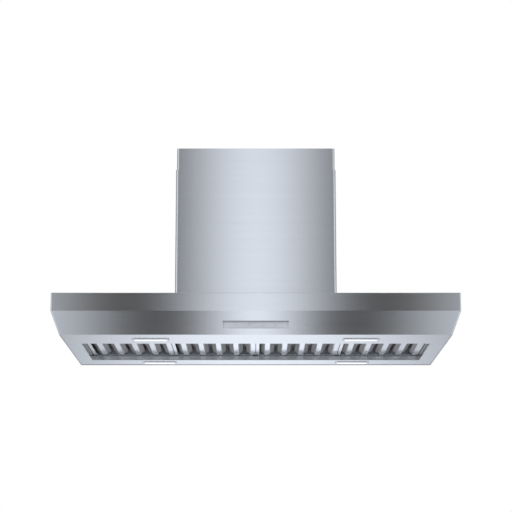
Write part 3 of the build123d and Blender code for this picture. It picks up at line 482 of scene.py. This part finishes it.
zinc_steel, tree = new_finish("zinc_steel")
crystals = Wire.add(
    tree, "ShaderNodeTexVoronoi", None, {"Vector": place_on(tree), "Scale": CRYSTALS}, out="Color"
)
tone, second_tone = split(crystals)[:2]
surface(tree, {
    "Base Color": blend_colours(tree, tone, ZINC_DARK, ZINC_LIGHT),
    "Roughness": ZINC_ROUGHNESS + ZINC_ROUGHENING * second_tone,
    "Metallic": 0.95,
})
print("zinc sheet with", CRYSTALS, "crystals to the metre")

# %% [markdown]
# ## Moulded plastics and paint
# The control strip and its buttons are moulded with a fine spark-eroded grain, which keeps them matt. Along
# the strip's upper edge the colour is painted dark grey: painted shade for the shadow gap under the skirt.
# The motor is painted, and the boards are green lacquer over copper tracks. Each could have a tree of its
# own, but all of them are a fine noise in the colour, the roughness and the bump, so one function makes
# them.

# %% Plastics and paint
CLOUDS = 25.0
PLASTIC_ROUGHENING = 0.12
# Dark grey painted along the control strip's top edge: painted shade for the shadow gap under the skirt.
SHADOW_GAP_COLOUR = (0.20, 0.20, 0.20, 1)


def moulded(name, dark, light, roughness, cells, depth, painted_shade_above=None):
    """Matt surface with a grain of so many cells to the metre, and painted dark shade above a level if one
    is given.
    """
    finish, tree = new_finish(name)
    pores = grain(tree, (cells, cells, cells))
    cloud = grain(tree, (CLOUDS, CLOUDS, CLOUDS))
    colour = blend_colours(tree, 0.6 * pores + 0.4 * cloud, dark, light)
    # Above that level the colour turns dark grey, as painted shade.
    if painted_shade_above is not None:
        up = split(place_on(tree))[2]
        colour = blend_colours(tree, up.above(painted_shade_above), colour, SHADOW_GAP_COLOUR)
    surface(tree, {
        "Base Color": colour,
        "Roughness": roughness - PLASTIC_ROUGHENING / 2 + PLASTIC_ROUGHENING * pores,
        "Normal": raised(tree, pores, depth),
    })
    print(name, "with", cells, "cells to the metre")
    return finish


print("moulded finishes ready, with", CLOUDS, "clouds to the metre")

# %% Plastic and paint finishes
# The painted shade starts this far below the bezel's top.
SHADOW_GAP_HEIGHT = 0.0009
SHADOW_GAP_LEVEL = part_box("control_bezel")[1][2] - SHADOW_GAP_HEIGHT

control_grey = moulded(
    "control_grey", dark=(0.71, 0.715, 0.72, 1), light=(0.77, 0.775, 0.78, 1),
    roughness=0.50, cells=1500.0, depth=0.00002, painted_shade_above=SHADOW_GAP_LEVEL,
)
button_grey = moulded(
    "button_grey", dark=(0.635, 0.64, 0.65, 1), light=(0.695, 0.70, 0.71, 1),
    roughness=0.45, cells=1500.0, depth=0.00002,
)
black_plastic = moulded(
    "black_plastic", dark=(0.030, 0.030, 0.033, 1), light=(0.055, 0.055, 0.06, 1),
    roughness=0.5, cells=1200.0, depth=0.00003,
)
motor_black = moulded(
    "motor_black", dark=(0.025, 0.025, 0.025, 1), light=(0.05, 0.05, 0.05, 1),
    roughness=0.36, cells=700.0, depth=0.00003,
)
board_green = moulded(
    "board_green", dark=(0.02, 0.12, 0.05, 1), light=(0.06, 0.24, 0.11, 1),
    roughness=0.4, cells=300.0, depth=0.00002,
)

# %% [markdown]
# ## Lit lamp lenses
# Each lamp is a board of small diodes behind a frosted lens, and the lamps are on. A lamp could be set
# behind clear plastic, but a pale plastic that gives off light itself is as bright and has no noise. Tiny
# pyramids in the plastic hide the diodes, so the glow is even, with a faint grid of its own.

# %% Lamp lens
LENS_WAVES = 1600.0
LENS_PALE = (0.90, 0.90, 0.88, 1)
GLOW_COOL, GLOW_WHITE = (0.97, 0.98, 1.0, 1), (1.0, 1.0, 1.0, 1)
PYRAMID_DEPTH = 0.0002

lamp_lens, tree = new_finish("lamp_lens")
east, north = split(place_on(tree))[:2]
grid = ((east * LENS_WAVES).math("SINE") * (north * LENS_WAVES).math("SINE") + 1.0) * 0.5
surface(tree, {
    "Base Color": LENS_PALE,
    "Roughness": 0.30 + 0.10 * grid,
    "Emission Color": blend_colours(tree, grid, GLOW_COOL, GLOW_WHITE),
    "Emission Strength": 1.0,
    "Normal": raised(tree, grid, PYRAMID_DEPTH),
})
print("lamp lens with a grid of", round(2000 * math.pi / LENS_WAVES, 1), "mm")

# %% [markdown]
# ## Dressing the solids
# Every solid came with the name of its finish. The canopy's sheets share one name in the record, but the
# underside lies flat and reflects another way, so its panel takes the underside's own steel.

# %% Dress the solids
finish_of = {
    finish.name: finish
    for finish in (
        brushed_steel, zinc_steel, screw_steel, lamp_steel, filter_steel, wire_steel,
        motor_black, black_plastic, board_green, control_grey, button_grey, lamp_lens,
    )
}
for name, node in nodes.items():
    node.material_slots[0].material = finish_of[slot_of[name]]
nodes["underside_panel"].material_slots[0].material = underside_steel
print("dressed", len(nodes), "solids")

# %% [markdown]
# ## Screws
# Pan-head screws with a cross recess hold the covers to their brackets and the stays to the canopy. The
# packed screws are plain discs on plain shafts, so each set is made again. One screw could be modelled
# and copied by hand, but a node tree makes it from its sizes and sets one on every marked point, turned
# the way that the point faces. The head is a low cylinder whose top is drawn up and in, and two crossing
# bars are cut out of it.

# %% Inputs of the screw tree
SCREW_SIZES = ("Head Radius", "Head Height", "Shaft Radius", "Shaft Length", "Recess Width", "Recess Depth")

screws = bpy.data.node_groups.new("pan_head_screws", "GeometryNodeTree")
screws.interface.new_socket("Geometry", in_out="INPUT", socket_type="NodeSocketGeometry")
for name in SCREW_SIZES:
    screws.interface.new_socket(name, in_out="INPUT", socket_type="NodeSocketFloat")
screws.interface.new_socket("Finish", in_out="INPUT", socket_type="NodeSocketMaterial")
screws.interface.new_socket("Geometry", in_out="OUTPUT", socket_type="NodeSocketGeometry")
given = {socket.name: Wire(socket) for socket in screws.nodes.new("NodeGroupInput").outputs if socket.name}


def along(x=0.0, y=0.0, z=0.0):
    """A vector in the screw tree."""
    return Wire.add(screws, "ShaderNodeCombineXYZ", None, {0: x, 1: y, 2: z})


def moved(part, place):
    """The part, moved to the place."""
    return Wire.add(screws, "GeometryNodeTransform", None, {"Geometry": part, "Translation": place})


def bar(x, y, z, place):
    """A block of that size, for cutting the recess."""
    return moved(Wire.add(screws, "GeometryNodeMeshCube", None, {"Size": along(x, y, z)}), place)


print("screw tree takes", ", ".join(given))

# %% Screw head
HEAD_SIDES = 28
RIM_SHARE, CROWN_SHARE, CROWN_TAPER = 0.55, 0.45, 0.74
RECESS_REACH = 1.15

height = given["Head Height"]
disc = Wire.add(
    screws, "GeometryNodeMeshCylinder", None,
    {"Vertices": HEAD_SIDES, "Radius": given["Head Radius"], "Depth": height * RIM_SHARE},
).socket.node
rim, rim_top = Wire(disc.outputs["Mesh"]), Wire(disc.outputs["Top"])
drawn_up = Wire.add(
    screws, "GeometryNodeExtrudeMesh", None,
    {"Mesh": rim, "Selection": rim_top, "Offset Scale": height * CROWN_SHARE, "Individual": False},
).socket.node
crown, crown_top = Wire(drawn_up.outputs["Mesh"]), Wire(drawn_up.outputs["Top"])
head = Wire.add(
    screws, "GeometryNodeScaleElements", None,
    {"Geometry": crown, "Selection": crown_top, "Scale": CROWN_TAPER},
)
head = moved(head, along(z=height * (RIM_SHARE / 2)))
top = along(z=height)
reach = given["Head Radius"] * RECESS_REACH
width = given["Recess Width"]
depth = given["Recess Depth"] * 2.0
head = Wire.add(
    screws, "GeometryNodeMeshBoolean", {"operation": "DIFFERENCE"},
    {"Mesh 1": head, "Mesh 2": [bar(reach, width, depth, top), bar(width, reach, depth, top)]},
)
print("screw head with", len(screws.nodes), "nodes")

# %% Shaft, and a screw on every point
SHAFT_SIDES = 16

shaft = Wire.add(
    screws, "GeometryNodeMeshCylinder", None,
    {"Vertices": SHAFT_SIDES, "Radius": given["Shaft Radius"], "Depth": given["Shaft Length"]},
)
shaft = moved(shaft, along(z=given["Shaft Length"] * -0.5))
screw = Wire.add(screws, "GeometryNodeJoinGeometry", None, {0: [shaft, head]})
facing = Wire.add(
    screws, "GeometryNodeInputNamedAttribute", {"data_type": "FLOAT_VECTOR"}, {"Name": "facing"}
)
turned = Wire.add(screws, "FunctionNodeAlignRotationToVector", {"axis": "Z"}, {"Vector": facing})
placed = Wire.add(
    screws, "GeometryNodeInstanceOnPoints", None,
    {"Points": given["Geometry"], "Instance": screw, "Rotation": turned},
)
real = Wire.add(screws, "GeometryNodeRealizeInstances", None, {0: placed})
finished = Wire.add(screws, "GeometryNodeSetMaterial", None, {"Geometry": real, "Material": given["Finish"]})
screws.links.new(finished.socket, screws.nodes.new("NodeGroupOutput").inputs[0])
print("screw tree with", len(screws.nodes), "nodes")

# %% [markdown]
# Four screws hold each chimney cover at its sides, and eight hold the stays through the canopy's top. Each
# could be an object, but one mesh for each set is enough, because a set moves as one. The points lie on
# the sheet that the heads press on.

# %% Set the screws
def set_screws(name, body, node, points, sizes):
    """Screws on the points, each a place and the way that it faces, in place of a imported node."""
    marks = bpy.data.meshes.new(name + "_marks")
    marks.from_pydata([place for place, way in points], [], [])
    ways = marks.attributes.new("facing", "FLOAT_VECTOR", "POINT")
    for mark, (place, way) in zip(ways.data, points):
        mark.vector = way
    maker = bpy.data.objects.new(name + "_maker", marks)
    scene.collection.objects.link(maker)
    modifier = maker.modifiers.new("screws", "NODES")
    modifier.node_group = screws
    for socket in screws.interface.items_tree:
        if socket.name in sizes:
            modifier[socket.identifier] = sizes[socket.name]
    graph = bpy.context.evaluated_depsgraph_get()
    mesh = bpy.data.meshes.new_from_object(maker.evaluated_get(graph))
    bpy.data.objects.remove(maker)
    piece = bpy.data.objects.new(name, mesh)
    scene.collection.objects.link(piece)
    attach(piece, body)
    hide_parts(node)
    print(name, len(points), "screws,", len(mesh.polygons), "faces")


print("screws ready to be set")

# %% Cover screws
CROSS = {"Recess Width": 0.0008, "Recess Depth": 0.0011, "Finish": screw_steel}
COVER_SCREW = {
    "Head Radius": 0.004, "Head Height": 0.0022, "Shaft Radius": 0.0019, "Shaft Length": 0.007, **CROSS
}
COVER_SCREW_Y = 0.06
UPPER_X, UPPER_Z = 0.2474, -0.018
LOWER_X, LOWER_Z = 0.25, -0.4865
SIDES = (-1, 1)


def cover_points(x, z):
    """Two points on each side of a cover, facing out."""
    return [((side * x, end * COVER_SCREW_Y, z), (side, 0, 0)) for side in SIDES for end in SIDES]


upper_points = cover_points(UPPER_X, UPPER_Z)
lower_points = cover_points(LOWER_X, LOWER_Z)
set_screws("upper_cover_screws", "mast", "upper_chimney_screws", upper_points, COVER_SCREW)
set_screws("lower_cover_screws", "hood", "lower_chimney_screws", lower_points, COVER_SCREW)

# %% Stay screws
STAY_SCREW = {
    "Head Radius": 0.005, "Head Height": 0.0026, "Shaft Radius": 0.0024, "Shaft Length": 0.014, **CROSS
}
STAY_PLACES = ((0.54, 0.285), (0.17, 0.285), (0.54, -0.28), (0.17, -0.2342))
CANOPY_TOP = -0.4975

stay_points = [((side * x, y, CANOPY_TOP), (0, 0, 1)) for side in SIDES for x, y in STAY_PLACES]
set_screws("stay_head_screws", "hood", "stay_screws", stay_points, STAY_SCREW)
